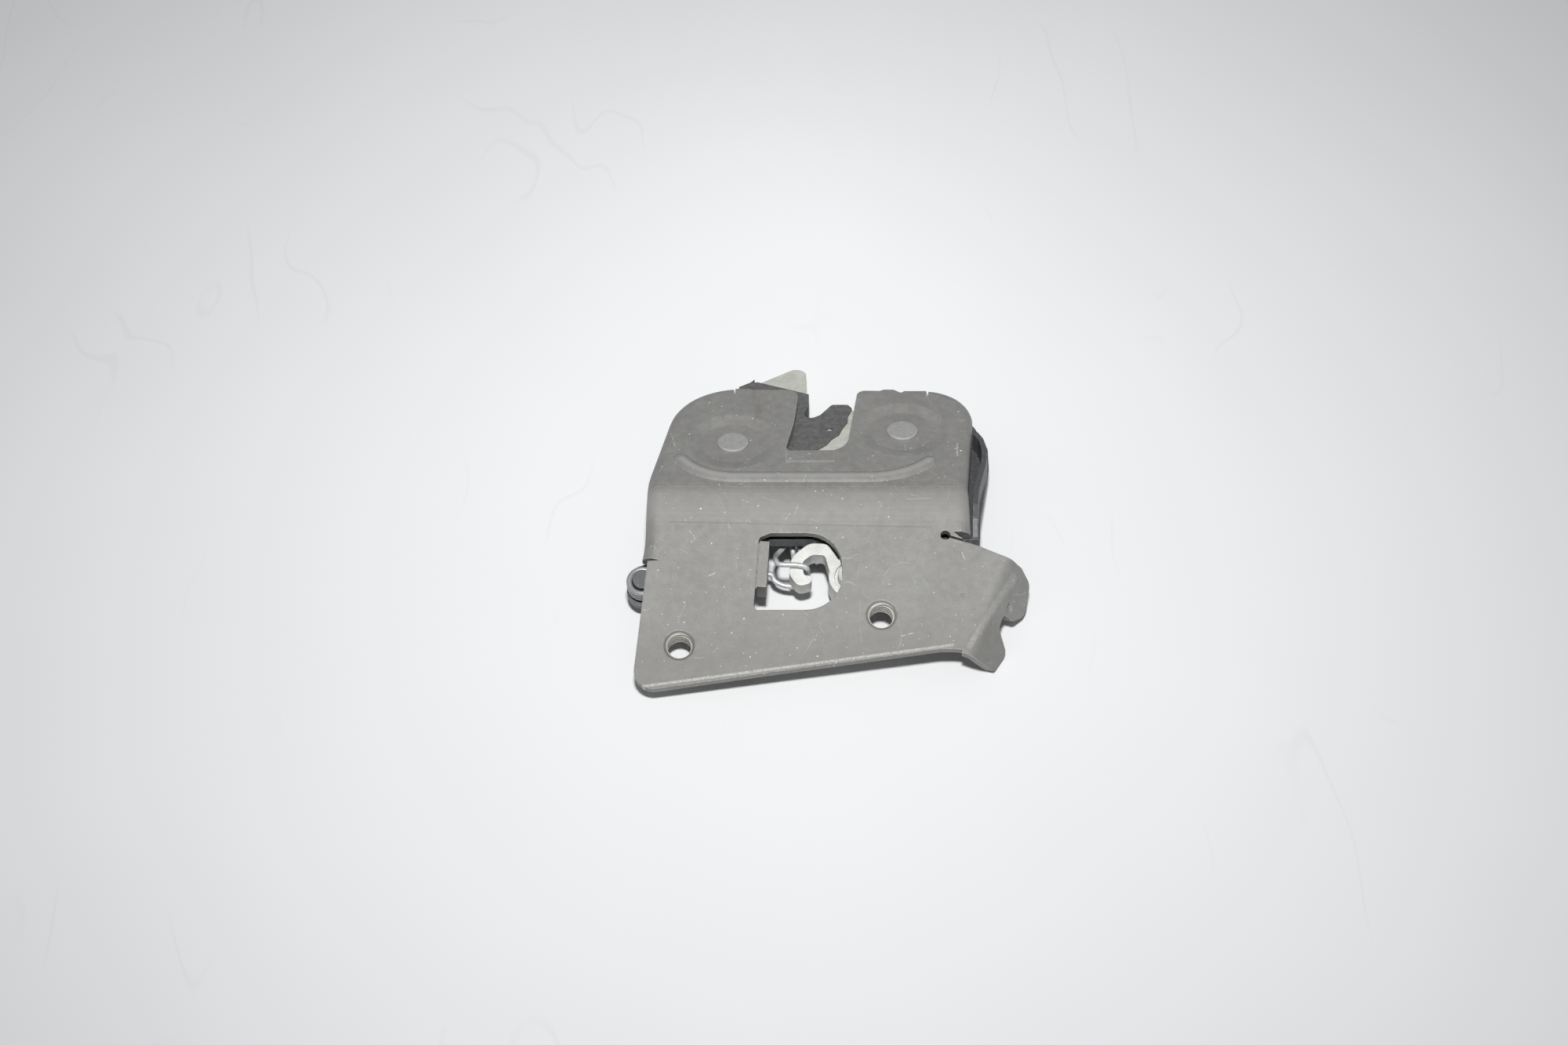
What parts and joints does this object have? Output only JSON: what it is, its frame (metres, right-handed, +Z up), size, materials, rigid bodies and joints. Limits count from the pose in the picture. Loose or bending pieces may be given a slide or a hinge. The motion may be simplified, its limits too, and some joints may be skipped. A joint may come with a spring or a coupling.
{
  "type": "seat backrest latch",
  "caption": "Pressed steel seat backrest latch lying on its back, with an open overmoulded catch, a release hook in a D-shaped window and two tapped fixing holes.",
  "frame": {"origin": "on the axis of the left fixing hole, at half the thickness of the mounting plate", "axes": "+Z up with the latch lying on its back, +X to the right along the bend, +Y from the mounting plate towards the mouth"},
  "size_m": [0.105, 0.1124, 0.0227],
  "materials": {
    "phosphated_steel": "satin",
    "black_steel": "satin",
    "bare_steel": "satin",
    "black_plastic": "satin",
    "white_zinc": "satin",
    "spring_wire": "gloss"
  },
  "bodies": {
    "housing": {"housing_plate": "phosphated_steel", "back_plate": "black_steel", "catch_rivet": "phosphated_steel", "pawl_rivet": "phosphated_steel", "lever_stud": "white_zinc", "lever_clip": "black_steel", "lever_spring": "spring_wire", "catch_spring": "spring_wire", "spring_post": "black_steel"},
    "catch": {"catch_core": "bare_steel", "catch_jacket": "black_plastic"},
    "pawl_body": {"pawl": "phosphated_steel", "drive_pin": "bare_steel"},
    "lever": {"release_lever": "white_zinc"}
  },
  "joints": [
    {"name": "catch_hinge", "type": "hinge", "parent": "housing", "child": "catch", "pos_m": [0.013, 0.06241, 0.00172], "axis": [0, 0.2147, 0.9767], "range_deg": [-38, 0]},
    {"name": "pawl_hinge", "type": "hinge", "parent": "housing", "child": "pawl_body", "pos_m": [0.0587, 0.06768, 0.00056], "axis": [0, 0.2147, 0.9767], "range_deg": [-18, 0]},
    {"name": "lever_hinge", "type": "hinge", "parent": "housing", "child": "lever", "pos_m": [0.0439, 0.0214, 0.00002], "axis": [0, -0.3024, 0.9532], "range_deg": [0, 21], "deforming": ["lever_spring"]}
  ],
  "couplings": [
    {"joint": "lever_hinge", "follows": "pawl_hinge", "ratio": -1.167}
  ]
}
